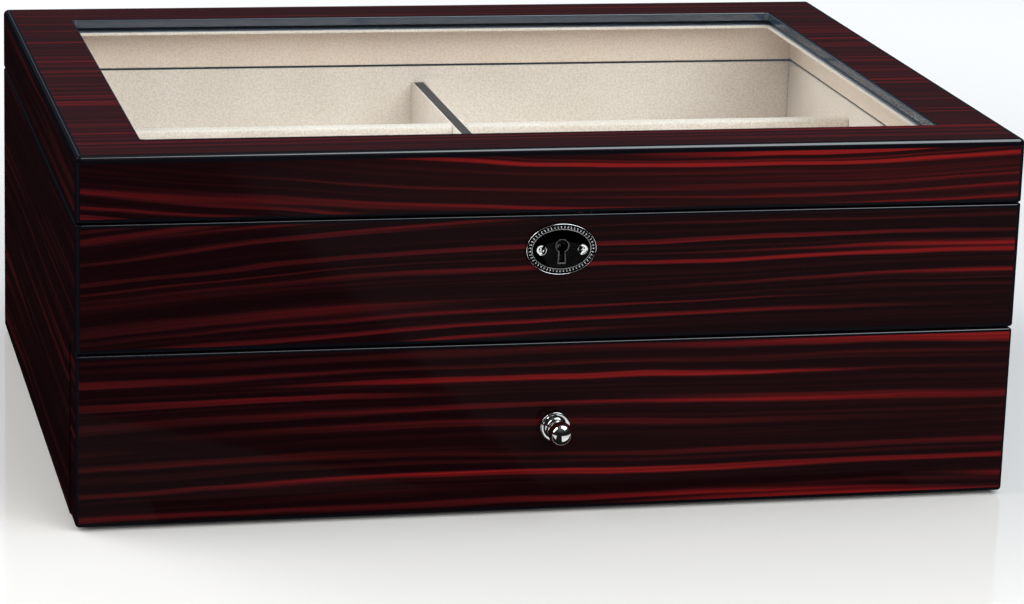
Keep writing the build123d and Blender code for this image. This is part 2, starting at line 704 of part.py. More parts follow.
# The box lock: its bolt slides along +X over the foot of the strike's hook
def make_lock_case():
    slot_left = hook_foot_left - PART_GAP
    slot_right = hook_right + PART_GAP
    with BuildPart() as lock:
        with BuildSketch(Plane.XY.offset(lock_base)):
            with Locations((0, lock_mid_y)):
                Rectangle(2 * lock_half_width, LOCK_DEPTH)
        extrude(amount=lock_plate_base - lock_base)
        with BuildSketch(Plane.XY.offset(lock_plate_base)):
            with Locations((0, lock_screw_y)):
                Rectangle(2 * (lock_half_width + LOCK_PLATE_EAR), LOCK_PLATE_DEPTH)
        extrude(amount=LOCK_PLATE_THICK)
        with BuildSketch(Plane.XY.offset(lock_base + LOCK_SHELL)):
            with Locations((0, lock_mid_y)):
                Rectangle(2 * lock_cavity_x, LOCK_DEPTH - 2 * LOCK_SHELL)
        extrude(amount=lock_plate_base - lock_base - LOCK_SHELL, mode=Mode.SUBTRACT)
        with BuildSketch(Plane.XY.offset(lock_plate_base)):
            with Locations(((slot_left + slot_right) / 2, lock_mid_y)):
                Rectangle(slot_right - slot_left, HOOK_THICK + 2 * PART_GAP)
        extrude(amount=LOCK_PLATE_THICK, mode=Mode.SUBTRACT)
        with BuildSketch(front_plane(lock_mid_y, keyhole_z)):
            keyhole_outline()
        extrude(amount=LOCK_DEPTH, mode=Mode.SUBTRACT)
        with BuildSketch(front_plane(lock_back, keyhole_z)):
            Circle(LOCK_POST_R)
        extrude(amount=LOCK_DEPTH)
        for x, y in lock_screw_points:
            with Locations(Location((x, y, case_top))):
                countersink(LOCK_PLATE_THICK)
    save(lock.part, "lock_case")


def make_lock_bolt():
    talon_x = (bolt_body_left + bolt_body_right) / 2
    with BuildPart() as bolt:
        with BuildSketch(front_plane(lock_mid_y + BOLT_THICK / 2, 0)):
            with BuildLine():
                Polyline(
                    (bolt_body_left, bolt_base),
                    (bolt_body_right, bolt_base),
                    (bolt_body_right, bolt_nose_base),
                    (bolt_nose_right, bolt_nose_base),
                    (bolt_nose_right, bolt_top),
                    (bolt_body_left, bolt_top),
                    close=True,
                )
            make_face()
            with Locations((talon_x, bolt_base)):
                Circle(BOLT_TALON_R, mode=Mode.SUBTRACT)
        extrude(amount=BOLT_THICK)
    save(bolt.part, "lock_bolt")


def make_lock_strike():
    stem_left = hook_right - HOOK_STEM_WIDTH
    plate_top = lid_base + LOCK_PLATE_THICK
    with BuildPart() as strike:
        with BuildSketch(Plane.XY.offset(lid_base)):
            with Locations((0, lock_screw_y)):
                Rectangle(2 * strike_half_width, LOCK_PLATE_DEPTH)
        extrude(amount=LOCK_PLATE_THICK)
        with BuildSketch(front_plane(lock_mid_y + HOOK_THICK / 2, 0)):
            with BuildLine():
                Polyline(
                    (stem_left, plate_top),
                    (stem_left, hook_foot_top),
                    (hook_foot_left, hook_foot_top),
                    (hook_foot_left, hook_base),
                    (hook_right, hook_base),
                    (hook_right, plate_top),
                    close=True,
                )
            make_face()
        extrude(amount=HOOK_THICK)
        for x, y in strike_screw_points:
            with Locations(Location((x, y, lid_base), (180, 0, 0))):
                countersink(LOCK_PLATE_THICK)
    save(strike.part, "lock_strike")


# The escutcheon: an oval plate with a raised field, on the front rail
def escutcheon_screw_holes(y, depth):
    """Two holes along +Y from a front-facing surface at y."""
    for sign in (-1, 1):
        with BuildSketch(front_plane(y, keyhole_z)) as hole:
            with Locations((sign * ESCUTCHEON_SCREW_SPREAD / 2, 0)):
                Circle(ESCUTCHEON_SCREW_R + SCREW_SIDE_GAP)
        extrude(hole.sketch, amount=-depth, mode=Mode.SUBTRACT)


def make_escutcheon():
    with BuildPart() as plate:
        with BuildSketch(front_plane(-half_depth, keyhole_z)):
            Ellipse(ESCUTCHEON_WIDTH / 2, ESCUTCHEON_HEIGHT / 2)
        extrude(amount=ESCUTCHEON_RIM_THICK)
        fillet(plate.faces().sort_by(Axis.Y)[0].edges(), ESCUTCHEON_EDGE_R)
        with BuildSketch(front_plane(-half_depth, keyhole_z)):
            Ellipse(
                ESCUTCHEON_WIDTH / 2 - ESCUTCHEON_RIM_WIDTH,
                ESCUTCHEON_HEIGHT / 2 - ESCUTCHEON_RIM_WIDTH,
            )
        extrude(amount=ESCUTCHEON_FIELD_THICK)
        with BuildSketch(front_plane(-half_depth, keyhole_z)):
            keyhole_outline()
        extrude(amount=ESCUTCHEON_FIELD_THICK, mode=Mode.SUBTRACT)
        escutcheon_screw_holes(-half_depth - ESCUTCHEON_FIELD_THICK, ESCUTCHEON_FIELD_THICK)
    save(plate.part, "escutcheon")
    head_face = -half_depth - ESCUTCHEON_FIELD_THICK
    spots = [(sign * ESCUTCHEON_SCREW_SPREAD / 2, 0) for sign in (-1, 1)]
    with BuildPart() as screws:
        with BuildSketch(front_plane(head_face, keyhole_z)):
            with Locations(*spots):
                Circle(ESCUTCHEON_SCREW_HEAD_R)
        extrude(amount=ESCUTCHEON_SCREW_HEAD_THICK)
        with BuildSketch(front_plane(head_face, keyhole_z)):
            with Locations(*spots):
                Circle(ESCUTCHEON_SCREW_R)
        extrude(amount=-(ESCUTCHEON_FIELD_THICK + escutcheon_screw_bite))
    save(screws.part, "escutcheon_screws")


os.makedirs("parts", exist_ok=True)
make_case_boards()
make_case_inside()
make_tray()
lid_block = make_lid_ring()
make_lid_rails(lid_block)
make_lid_top_frame(lid_block)
make_glazing()
make_drawer_front()
make_drawer_box()
make_knob()
for hinge_side in ("left", "right"):
    make_hinge_leaf(hinge_side, moving=False)
    make_hinge_leaf(hinge_side, moving=True)
    make_hinge_pin(hinge_side)
make_screw_sets()
make_lock_case()
make_lock_bolt()
make_lock_strike()
make_escutcheon()
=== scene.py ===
import math

import bmesh
import bpy
from mathutils import Matrix, Vector


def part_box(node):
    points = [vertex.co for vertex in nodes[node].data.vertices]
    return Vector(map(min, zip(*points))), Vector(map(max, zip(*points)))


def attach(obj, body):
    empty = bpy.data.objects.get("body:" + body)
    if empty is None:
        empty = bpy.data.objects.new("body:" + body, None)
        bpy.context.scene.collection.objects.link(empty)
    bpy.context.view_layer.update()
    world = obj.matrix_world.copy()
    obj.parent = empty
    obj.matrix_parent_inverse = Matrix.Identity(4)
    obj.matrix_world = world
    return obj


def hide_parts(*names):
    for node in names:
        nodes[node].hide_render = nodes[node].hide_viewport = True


# Glasses box with a glazed lid, a divided tray and a divided drawer. The outer boards, the inner
# boards, the pane, the hinges and the lock keep their CAD shapes and get their finishes here.
# Everything of velvet, the felt, the escutcheon, the screws and the knob are modelled here.
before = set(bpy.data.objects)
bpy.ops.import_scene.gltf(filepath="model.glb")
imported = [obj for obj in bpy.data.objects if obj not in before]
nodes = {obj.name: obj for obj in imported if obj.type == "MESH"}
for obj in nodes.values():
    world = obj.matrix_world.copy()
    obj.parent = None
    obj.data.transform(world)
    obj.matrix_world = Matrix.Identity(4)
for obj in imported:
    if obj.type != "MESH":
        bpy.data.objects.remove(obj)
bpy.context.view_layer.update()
bpy.ops.object.select_all(action="DESELECT")

MM = 0.001

# Outside planes and levels of the box, in millimetres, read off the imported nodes
case_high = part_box("case_right_side")[1]
front_low, front_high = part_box("drawer_front")
HALF_WIDTH = case_high.x / MM
HALF_DEPTH = -front_low.y / MM
CASE_TOP = case_high.z / MM
RAIL_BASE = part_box("case_front_rail")[0].z / MM
LID_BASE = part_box("lid_front_rail")[0].z / MM
LID_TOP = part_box("lid_top_frame")[1].z / MM
DRAWER_BASE = front_low.z / MM
DRAWER_TOP = front_high.z / MM
WINDOW_X = 144.5
WINDOW_Y = 107.0
KEYHOLE_Z = 97.5
KNOB_Z = 32.5


# Working in Blender
def deselect():
    if bpy.context.mode != "OBJECT":
        bpy.ops.object.mode_set(mode="OBJECT")
    bpy.ops.object.select_all(action="DESELECT")


def pick(piece):
    """Make one object the only selected one, and the active one."""
    deselect()
    piece.select_set(True)
    bpy.context.view_layer.objects.active = piece


def named(name):
    piece = bpy.context.object
    piece.name = name
    piece.data.name = name
    return piece


def settle(piece):
    """Put the object's place, turn and size into its mesh."""
    pick(piece)
    bpy.ops.object.transform_apply(location=True, rotation=True, scale=True)
    return piece


def block(name, low, high):
    """A box between two corners in millimetres, ready to be shaped."""
    low = Vector(low) * MM
    high = Vector(high) * MM
    deselect()
    bpy.ops.mesh.primitive_cube_add(size=1.0, location=(low + high) / 2, scale=high - low)
    return settle(named(name))


def edit(piece, mode=(True, False, False)):
    pick(piece)
    bpy.ops.object.mode_set(mode="EDIT")
    bpy.context.tool_settings.mesh_select_mode = mode
    bpy.ops.mesh.select_all(action="DESELECT")
    return bmesh.from_edit_mesh(piece.data)


def leave_edit():
    bpy.ops.object.mode_set(mode="OBJECT")


def choose_edges(piece, wanted):
    """Go into edit mode with the edges selected whose end points, in millimetres, pass the test."""
    mesh = edit(piece, (False, True, False))
    for edge in mesh.edges:
        first, second = (vert.co / MM for vert in edge.verts)
        edge.select = bool(wanted(first, second))
    mesh.select_flush_mode()
    bmesh.update_edit_mesh(piece.data)


def bevel_edges(piece, width, segments, wanted):
    choose_edges(piece, wanted)
    bpy.ops.mesh.bevel(offset=width * MM, segments=segments, affect="EDGES", clamp_overlap=True)
    leave_edit()
    return piece


def round_all(piece, width, segments=3):
    return bevel_edges(piece, width, segments, lambda first, second: True)


def cut_out(piece, cutter):
    """Take the cutter's shape out of the piece, and remove the cutter."""
    pick(piece)
    modifier = piece.modifiers.new("cut", "BOOLEAN")
    modifier.operation = "DIFFERENCE"
    modifier.solver = "EXACT"
    modifier.object = cutter
    bpy.ops.object.modifier_apply(modifier=modifier.name)
    bpy.data.objects.remove(cutter)
    return piece


def join(pieces, name):
    deselect()
    for piece in pieces:
        piece.select_set(True)
    bpy.context.view_layer.objects.active = pieces[0]
    bpy.ops.object.join()
    return named(name)


def copy_to(piece, offset, turn=None):
    """A copy with its own mesh, turned about the origin and then moved, in millimetres."""
    double = piece.copy()
    double.data = piece.data.copy()
    bpy.context.scene.collection.objects.link(double)
    if turn is not None:
        double.data.transform(turn)
    double.data.transform(Matrix.Translation(Vector(offset) * MM))
    return double


def ring_stack(name, rings, around=64):
    """A turned or oval shape along +Z from rings of (half width, half height, level)."""
    deselect()
    first = rings[0]
    bpy.ops.mesh.primitive_circle_add(vertices=around, radius=MM, fill_type="NGON")
    piece = named(name)
    edit(piece, (False, False, True))
    bpy.ops.mesh.select_all(action="SELECT")
    bpy.ops.transform.resize(value=(first[0], first[1], 1), center_override=(0, 0, 0))
    bpy.ops.transform.translate(value=(0, 0, first[2] * MM))
    for before, after in zip(rings, rings[1:]):
        rise = (after[2] - before[2]) * MM
        bpy.ops.mesh.extrude_region_move(TRANSFORM_OT_translate={"value": (0, 0, rise)})
        bpy.ops.transform.resize(
            value=(after[0] / before[0], after[1] / before[1], 1),
            center_override=(0, 0, after[2] * MM),
        )
    bpy.context.tool_settings.mesh_select_mode = (True, False, False)
    bpy.ops.mesh.select_all(action="DESELECT")
    bpy.ops.mesh.select_non_manifold()
    bpy.ops.mesh.edge_face_add()
    bpy.ops.mesh.select_all(action="SELECT")
    bpy.ops.mesh.normals_make_consistent(inside=False)
    leave_edit()
    return piece


def face_front(piece, x, y, z):
    """Turn a piece that was made along +Z to look along -Y, and move it, in millimetres."""
    piece.rotation_euler = (math.radians(90), 0, 0)
    piece.location = Vector((x, y, z)) * MM
    return settle(piece)


def ready(piece, body, material, stands_for=(), angle=35):
    """Shade a finished piece, and give it its finish and the body that it rides on."""
    pick(piece)
    bpy.ops.object.shade_smooth_by_angle(angle=math.radians(angle))
    piece.data.materials.clear()
    piece.data.materials.append(material)
    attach(piece, body)
    if stands_for:
        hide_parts(*stands_for)
    deselect()
    return piece


# Node materials
class Finish:
    """One node material, with short ways to add and join its nodes."""

    def __init__(self, name, **settings):
        self.material = bpy.data.materials.new(name)
        self.material.use_nodes = True
        self.tree = self.material.node_tree
        self.shader = self.tree.nodes["Principled BSDF"]
        for socket, value in settings.items():
            self.shader.inputs[socket.replace("_", " ")].default_value = value

    def node(self, kind, **settings):
        made = self.tree.nodes.new("ShaderNode" + kind)
        for key, value in settings.items():
            setattr(made, key, value)
        return made

    def put(self, socket, value):
        if isinstance(value, bpy.types.NodeSocket):
            self.tree.links.new(value, socket)
        else:
            socket.default_value = value

    def set(self, socket, value):
        self.put(self.shader.inputs[socket], value)

    def math(self, operation, first, second=None, third=None, clamp=False):
        made = self.node("Math", operation=operation, use_clamp=clamp)
        for index, value in enumerate((first, second, third)):
            if value is not None:
                self.put(made.inputs[index], value)
        return made.outputs[0]

    def add(self, first, second):
        return self.math("ADD", first, second)

    def times(self, first, second):
        return self.math("MULTIPLY", first, second)

    def size(self, value):
        return self.math("ABSOLUTE", value)

    def flip(self, value):
        return self.math("SUBTRACT", 1.0, value)

    def step(self, value, start, end):
        """0 below start and 1 above end, smooth between; the other way round if end is lower."""
        made = self.node("MapRange", interpolation_type="SMOOTHSTEP")
        low, high, results = (start, end, (0.0, 1.0)) if start < end else (end, start, (1.0, 0.0))
        self.put(made.inputs["Value"], value)
        made.inputs["From Min"].default_value = low
        made.inputs["From Max"].default_value = high
        made.inputs["To Min"].default_value = results[0]
        made.inputs["To Max"].default_value = results[1]
        return made.outputs["Result"]

    def blend(self, share, first, second):
        """Numbers: first where share is 0, and second where it is 1."""
        made = self.node("Mix", data_type="FLOAT")
        self.put(made.inputs[0], share)
        self.put(made.inputs[2], first)
        self.put(made.inputs[3], second)
        return made.outputs[0]

    def tint(self, share, first, second, kind="MIX"):
        """Colours: first where share is 0, and second where it is 1."""
        made = self.node("Mix", data_type="RGBA", blend_type=kind)
        self.put(made.inputs[0], share)
        self.put(made.inputs[6], first)
        self.put(made.inputs[7], second)
        return made.outputs[2]

    def point(self, x, y, z):
        made = self.node("CombineXYZ")
        for index, value in enumerate((x, y, z)):
            self.put(made.inputs[index], value)
        return made.outputs[0]

    def place(self):
        """The place on the object in millimetres, as a vector."""
        made = self.node("VectorMath", operation="SCALE")
        self.put(made.inputs[0], self.node("TexCoord").outputs["Object"])
        made.inputs["Scale"].default_value = 1 / MM
        return made.outputs[0]

    def parts(self, vector):
        made = self.node("SeparateXYZ")
        self.put(made.inputs[0], vector)
        return made.outputs

    def noise(self, vector, scale=1.0, detail=2.0, roughness=0.5, distortion=0.0):
        made = self.node("TexNoise")
        self.put(made.inputs["Vector"], vector)
        made.inputs["Scale"].default_value = scale
        made.inputs["Detail"].default_value = detail
        made.inputs["Roughness"].default_value = roughness
        made.inputs["Distortion"].default_value = distortion
        return made.outputs["Fac"]

    def ramp(self, value, stops):
        made = self.node("ValToRGB")
        self.put(made.inputs[0], value)
        elements = made.color_ramp.elements
        while len(elements) < len(stops):
            elements.new(0.5)
        for element, (position, colour) in zip(elements, stops):
            element.position = position
            element.color = (*colour, 1.0)
        return made.outputs["Color"]

    def bump(self, height, distance, strength=1.0):
        made = self.node("Bump")
        self.put(made.inputs["Height"], height)
        made.inputs["Distance"].default_value = distance
        made.inputs["Strength"].default_value = strength
        self.set("Normal", made.outputs["Normal"])


# Striped veneer under clear lacquer, with black lacquered borders at every edge
LACQUER_BLACK = (0.0030, 0.0030, 0.0046)
VENEER_STOPS = (
    (0.00, (0.0046, 0.0014, 0.0021)),
    (0.22, (0.0160, 0.0030, 0.0036)),
    (0.48, (0.0480, 0.0044, 0.0052)),
    (0.76, (0.1060, 0.0052, 0.0060)),
    (1.00, (0.1800, 0.0085, 0.0085)),
)
# Colour of the window's inner lip: black lacquer painted slate, a painted reflection
LIP_PAINTED_REFLECTION = (0.034, 0.050, 0.075)

# Widths of the black borders at upright edges, round the lid's top and round the window, how
# softly they end, how near to an outside plane a veneered face lies, how far the drawer front's
# ends are set in from the case's sides, and how deep the window's inner lip is and how far past
# the window's edge it counts
WALL_BORDER = 1.75
TOP_BORDER = 2.5
WINDOW_BORDER = 0.75
BORDER_FADE = 0.2
EDGE_SOFTNESS = 0.25
SKIN_DEPTH = 0.06
DRAWER_END_SET = 0.4
LIP_DEPTH = 3.3
LIP_REACH = 0.3

# Shifts in the grain that make the sides, the top and the far faces differ, and the span in
# millimetres of the curve that holds a panel's drift
SIDE_LANE = 31.0
TOP_LANE = 57.0
FAR_LANE = 13.0
DRIFT_SPAN = 60.0


def lacquered_veneer(
    name, seed, low, high, half_width, drift, pull=1.0, painted_light_gain=(1.0, 1.0), painted_right_sheen=0.018, spread=1.0
):
    """Grain runs along X on the front, back and top, and along Y on the sides. drift is how far
    the front's grain rises across the panel, as (share of the width, millimetres) points, and
    pull is how much of it the top of the panel follows. painted_light_gain is how red the front's
    streaks are at the left and at the right: painted light, redder towards the lamps on the right.
    painted_right_sheen is how red the front is between the streaks at the right: a painted sheen
    of the light from the right. spread widens the streaks."""
    finish = Finish(
        name,
        Roughness=0.45,
        Specular_IOR_Level=0.0,
        Coat_Roughness=0.08,
        Coat_IOR=2.0,
    )
    x, y, z = finish.parts(finish.place())
    facing = finish.parts(finish.node("TexCoord").outputs["Normal"])
    side = finish.math("GREATER_THAN", finish.size(facing[0]), 0.7)
    top = finish.math("GREATER_THAN", finish.size(facing[2]), 0.7)
    front = finish.times(finish.flip(side), finish.flip(top))
    far = finish.math("GREATER_THAN", finish.add(facing[0], facing[1]), 0.2)
    along = finish.blend(side, x, y)
    across = finish.blend(top, z, y)
    lane = finish.add(
        finish.add(finish.times(side, SIDE_LANE), finish.times(top, TOP_LANE)),
        finish.add(finish.times(far, FAR_LANE), seed),
    )

    curve = finish.node("FloatCurve")
    points = curve.mapping.curves[0].points
    while len(points) < len(drift):
        points.new(0.5, 0.5)
    for curve_point, (share, rise) in zip(points, drift):
        curve_point.location = (share, 0.5 + rise / DRIFT_SPAN)
    curve.mapping.update()
    finish.put(curve.inputs["Value"], finish.add(finish.times(along, 1 / (2 * half_width)), 0.5))
    lift = finish.times(finish.math("SUBTRACT", curve.outputs[0], 0.5), DRIFT_SPAN)
    height = finish.times(finish.math("SUBTRACT", z, low), 1 / (high - low))
    lift = finish.times(finish.times(lift, front), finish.blend(height, 1.0, pull))

    def wander(length, width, reach, top_reach):
        spot = finish.point(finish.times(along, 1 / length), finish.times(across, 1 / width), lane)
        swing = finish.math("SUBTRACT", finish.noise(spot, detail=1.0), 0.5)
        return finish.times(swing, finish.blend(top, reach, top_reach))

    bend = finish.add(wander(190, 30, 6.0, 1.6), wander(46, 7, 1.6, 0.3))
    grain_across = finish.add(finish.math("SUBTRACT", across, lift), bend)

    def streaks(length, width, offset, detail=0.0):
        spot = finish.point(
            finish.times(along, 1 / length),
            finish.times(grain_across, 1 / (width * spread)),
            finish.add(lane, offset),
        )
        return finish.noise(spot, detail=detail)

    zones = finish.step(streaks(330, 14, 3.0), 0.36, 0.62)
    bold = finish.step(streaks(290, 2.5, 7.0), 0.51, 0.71)
    thin = finish.step(streaks(240, 1.35, 11.0, 0.5), 0.46, 0.80)
    hair = streaks(200, 0.60, 17.0, 1.0)
    strength = finish.times(bold, finish.blend(zones, 0.52, 1.10))
    strength = finish.add(strength, finish.times(thin, finish.blend(zones, 0.22, 0.44)))
    strength = finish.add(strength, finish.times(finish.step(hair, 0.40, 0.75), 0.08))
    strength = finish.times(strength, finish.blend(finish.step(hair, 0.30, 0.62), 0.78, 1.0))
    # Painted light: the front's streaks grow redder towards the right, where the lamps are, and the
    # front between them lifts there as a painted sheen of that light. On the sides the streaks are
    # weaker.
    share_x = finish.step(x, -half_width, half_width * 0.4)
    on_top_strength = finish.add(finish.times(strength, 0.42), 0.225)
    strength = finish.times(strength, finish.blend(side, finish.blend(share_x, *painted_light_gain), 0.28))
    strength = finish.add(strength, finish.times(front, finish.blend(share_x, 0.018, painted_right_sheen)))
    colour = finish.ramp(finish.blend(top, strength, on_top_strength), VENEER_STOPS)

    def beyond(value, edge, fade):
        return finish.step(value, edge, edge + fade)

    def short_of(value, edge, fade):
        return finish.step(value, edge, edge - fade)

    reach_x = finish.size(x)
    reach_y = finish.size(y)
    above_low = beyond(z, low, EDGE_SOFTNESS)
    level = finish.times(above_low, short_of(z, high + EDGE_SOFTNESS, EDGE_SOFTNESS))
    front_plane = HALF_DEPTH - SKIN_DEPTH
    side_plane = HALF_WIDTH - DRAWER_END_SET - SKIN_DEPTH
    on_front = finish.times(front, finish.math("GREATER_THAN", reach_y, front_plane))
    on_front = finish.times(on_front, short_of(reach_x, half_width - WALL_BORDER, BORDER_FADE))
    on_side = finish.times(side, finish.math("GREATER_THAN", reach_x, side_plane))
    on_side = finish.times(on_side, short_of(reach_y, HALF_DEPTH - WALL_BORDER, BORDER_FADE))
    on_walls = finish.times(finish.add(on_front, on_side), level)
    on_top = finish.times(top, finish.math("GREATER_THAN", z, LID_TOP - SKIN_DEPTH))
    rim_x = short_of(reach_x, HALF_WIDTH - TOP_BORDER, EDGE_SOFTNESS)
    rim_y = short_of(reach_y, HALF_DEPTH - TOP_BORDER, EDGE_SOFTNESS)
    off_x = beyond(reach_x, WINDOW_X + WINDOW_BORDER, BORDER_FADE)
    off_y = beyond(reach_y, WINDOW_Y + WINDOW_BORDER, BORDER_FADE)
    on_top = finish.times(on_top, finish.times(rim_x, rim_y))
    on_top = finish.times(on_top, finish.math("MAXIMUM", off_x, off_y))
    veneered = finish.add(on_walls, on_top)
    colour = finish.tint(veneered, (*LACQUER_BLACK, 1.0), colour)

    flattest = finish.math("MAXIMUM", finish.size(facing[0]), finish.size(facing[1]))
    flattest = finish.math("MAXIMUM", flattest, finish.size(facing[2]))
    rounded = finish.times(finish.step(flattest, 0.998, 0.985), finish.step(facing[2], 0.1, 0.4))
    rounded = finish.times(rounded, finish.step(finish.size(facing[0]), 0.35, 0.05))
    satin = finish.blend(top, finish.blend(side, 0.020, 0.002), 0.070)
    weight = finish.math("MAXIMUM", rounded, satin)
    in_x = short_of(reach_x, WINDOW_X + LIP_REACH, BORDER_FADE)
    in_y = short_of(reach_y, WINDOW_Y + LIP_REACH, BORDER_FADE)
    above_pane = finish.math("GREATER_THAN", z, LID_TOP - LIP_DEPTH)
    lip = finish.times(finish.times(in_x, in_y), above_pane)
    lip_gloss = finish.times(lip, finish.blend(side, 1.0, 0.55))
    finish.set("Coat Weight", finish.math("MAXIMUM", weight, lip_gloss))
    # Painted reflection: the lip's upright faces get a slate colour in place of the black lacquer
    lip = finish.times(lip, finish.flip(top))
    finish.set("Base Color", finish.tint(lip, colour, (*LIP_PAINTED_REFLECTION, 1.0)))
    return finish.material


CASE_LEVELS = {"high": CASE_TOP - 1.4, "half_width": HALF_WIDTH}
LID_DRIFT = ((0.0, 13.0), (0.18, 6.5), (0.40, 1.0), (0.70, -1.0), (1.0, 1.5))
RAIL_DRIFT = ((0.0, -9.0), (0.16, -5.0), (0.40, -1.0), (0.70, 1.0), (1.0, 2.0))
LEVEL_GRAIN = ((0.0, 0.0), (1.0, 0.0))
lid_veneer = lacquered_veneer(
    "lid_veneer",
    2.0,
    low=LID_BASE + 1.3,
    high=LID_TOP - 2.7,
    half_width=HALF_WIDTH,
    drift=LID_DRIFT,
    painted_light_gain=(0.52, 0.98),
    painted_right_sheen=0.16,
)
rail_veneer = lacquered_veneer(
    "rail_veneer",
    5.0,
    low=RAIL_BASE + 1.4,
    drift=RAIL_DRIFT,
    pull=1.3,
    painted_light_gain=(0.34, 0.80),
    **CASE_LEVELS,
)
case_veneer = lacquered_veneer("case_veneer", 9.0, low=2.6, drift=LEVEL_GRAIN, **CASE_LEVELS)
drawer_veneer = lacquered_veneer(
    "drawer_veneer",
    14.0,
    low=DRAWER_BASE + 1.4,
    high=DRAWER_TOP - 1.4,
    half_width=front_high.x / MM + 0.8,
    drift=((0.0, -2.0), (0.3, 0.0), (0.7, 0.5), (1.0, 0.0)),
    painted_light_gain=(0.44, 0.86),
    painted_right_sheen=0.045,
    spread=1.4,
)


def velvet_finish(name, colour, shade):
    """Short pile with a fine speckle, and soft patches where it was brushed."""
    finish = Finish(
        name,
        Roughness=0.95,
        Specular_IOR_Level=0.15,
        Sheen_Weight=0.25,
        Sheen_Roughness=0.45,
        Sheen_Tint=(0.95, 0.90, 0.84, 1.0),
    )
    place = finish.place()
    speckle = finish.noise(place, scale=1.15, detail=2.0, roughness=0.7)
    pile = finish.noise(place, scale=3.6, detail=2.0, roughness=0.6)
    brushed = finish.noise(place, scale=0.04, detail=1.0, roughness=0.5)
    dark = finish.step(speckle, 0.60, 0.38)
    share = finish.times(dark, 0.62)
    share = finish.add(share, finish.times(finish.step(brushed, 0.62, 0.36), 0.16))
    finish.set("Base Color", finish.tint(share, (*colour, 1.0), (*shade, 1.0)))
    height = finish.add(finish.times(speckle, 0.7), finish.times(pile, 0.3))
    finish.bump(height, 0.00032, 0.55)
    return finish.material


velvet = velvet_finish("beige_velvet", (0.930, 0.865, 0.800), (0.740, 0.640, 0.535))
# The lid's linings: a warmer copy of the same velvet, with painted warm bounce light and shade
painted_warm_shade_velvet = velvet_finish("lid_velvet_painted_warm_shade", (0.955, 0.840, 0.735), (0.800, 0.650, 0.520))


def divider_core_finish():
    """The cut edge of the dark board between the velvet skins."""
    finish = Finish("divider_core_board", Roughness=0.82, Specular_IOR_Level=0.25)
    place = finish.place()
    fibres = finish.noise(place, scale=2.4, detail=3.0, roughness=0.6)
    share = finish.step(fibres, 0.35, 0.66)
    finish.set("Base Color", finish.tint(share, (0.040, 0.033, 0.027, 1), (0.068, 0.057, 0.048, 1)))
    finish.bump(fibres, 0.0002, 0.5)
    return finish.material


divider_core = divider_core_finish()


def stained_board_finish():
    """Black-stained board, satin, with a faint grain along X."""
    finish = Finish("black_stained_board", Specular_IOR_Level=0.22)
    x, y, z = finish.parts(finish.place())
    spot = finish.point(finish.times(x, 1 / 60), finish.times(y, 1 / 1.6), finish.times(z, 1 / 1.6))
    grain = finish.noise(spot, detail=4.0, roughness=0.6)
    share = finish.step(grain, 0.36, 0.68)
    finish.set("Base Color", finish.tint(share, (0.010, 0.009, 0.009, 1), (0.030, 0.024, 0.022, 1)))
    finish.set("Roughness", finish.blend(share, 0.44, 0.34))
    finish.bump(grain, 0.00010, 0.5)
    return finish.material


stained_board = stained_board_finish()


def felt_finish():
    finish = Finish("black_felt", Roughness=1.0, Specular_IOR_Level=0.1, Sheen_Weight=0.2)
    place = finish.place()
    fibres = finish.noise(place, scale=1.6, detail=4.0, roughness=0.7)
    share = finish.step(fibres, 0.35, 0.70)
    finish.set("Base Color", finish.tint(share, (0.007, 0.007, 0.008, 1), (0.026, 0.026, 0.029, 1)))
    finish.bump(fibres, 0.0003, 0.8)
    return finish.material


black_felt = felt_finish()


def metal_finish(name, dark, light, roughness, smear=0.0, grain=(1 / 3, 1 / 3, 1 / 3)):
    """Plated metal with slightly uneven polish; grain stretches the marks along an axis."""
    finish = Finish(name, Metallic=1.0)
    x, y, z = finish.parts(finish.place())
    spot = finish.point(
        finish.times(x, grain[0]), finish.times(y, grain[1]), finish.times(z, grain[2])
    )
    marks = finish.noise(spot, detail=4.0, roughness=0.6)
    share = finish.step(marks, 0.30, 0.72)
    finish.set("Base Color", finish.tint(share, (*dark, 1.0), (*light, 1.0)))
    finish.set("Roughness", finish.blend(share, roughness + smear, roughness))
    if smear > 0.05:
        finish.bump(marks, 0.00003, 0.5)
    return finish.material


chrome = metal_finish("polished_chrome", (0.78, 0.79, 0.80), (0.88, 0.88, 0.89), 0.035, 0.02)
dark_chrome = metal_finish("dark_chrome", (0.50, 0.50, 0.51), (0.66, 0.66, 0.67), 0.07, 0.03)
black_chrome = metal_finish(
    "black_chrome", (0.003, 0.003, 0.003), (0.006, 0.006, 0.007), 0.06, 0.03
)
smoked_chrome = metal_finish("smoked_chrome", (0.07, 0.07, 0.075), (0.12, 0.12, 0.125), 0.07, 0.03)
nickel = metal_finish(
    "nickel_plate", (0.46, 0.45, 0.43), (0.66, 0.65, 0.62), 0.24, 0.12, (1 / 9, 1 / 1.2, 1 / 1.2)
)
hardware_steel = metal_finish(
    "lock_steel", (0.40, 0.39, 0.38), (0.58, 0.57, 0.55), 0.30, 0.12, (1 / 8, 1 / 1.0, 1 / 1.0)
)


# The bedding's pale slate colour is painted: it stands for the slate reflection on the window's
# lip, and stays light in the shade under it
def bedding_finish():
    finish = Finish("bedding_painted_slate", Roughness=0.6, Specular_IOR_Level=0.3)
    marks = finish.noise(finish.place(), scale=0.8, detail=2.0)
    finish.set("Base Color", finish.tint(marks, (0.250, 0.290, 0.360, 1), (0.320, 0.370, 0.450, 1)))
    return finish.material


painted_slate_bedding = bedding_finish()


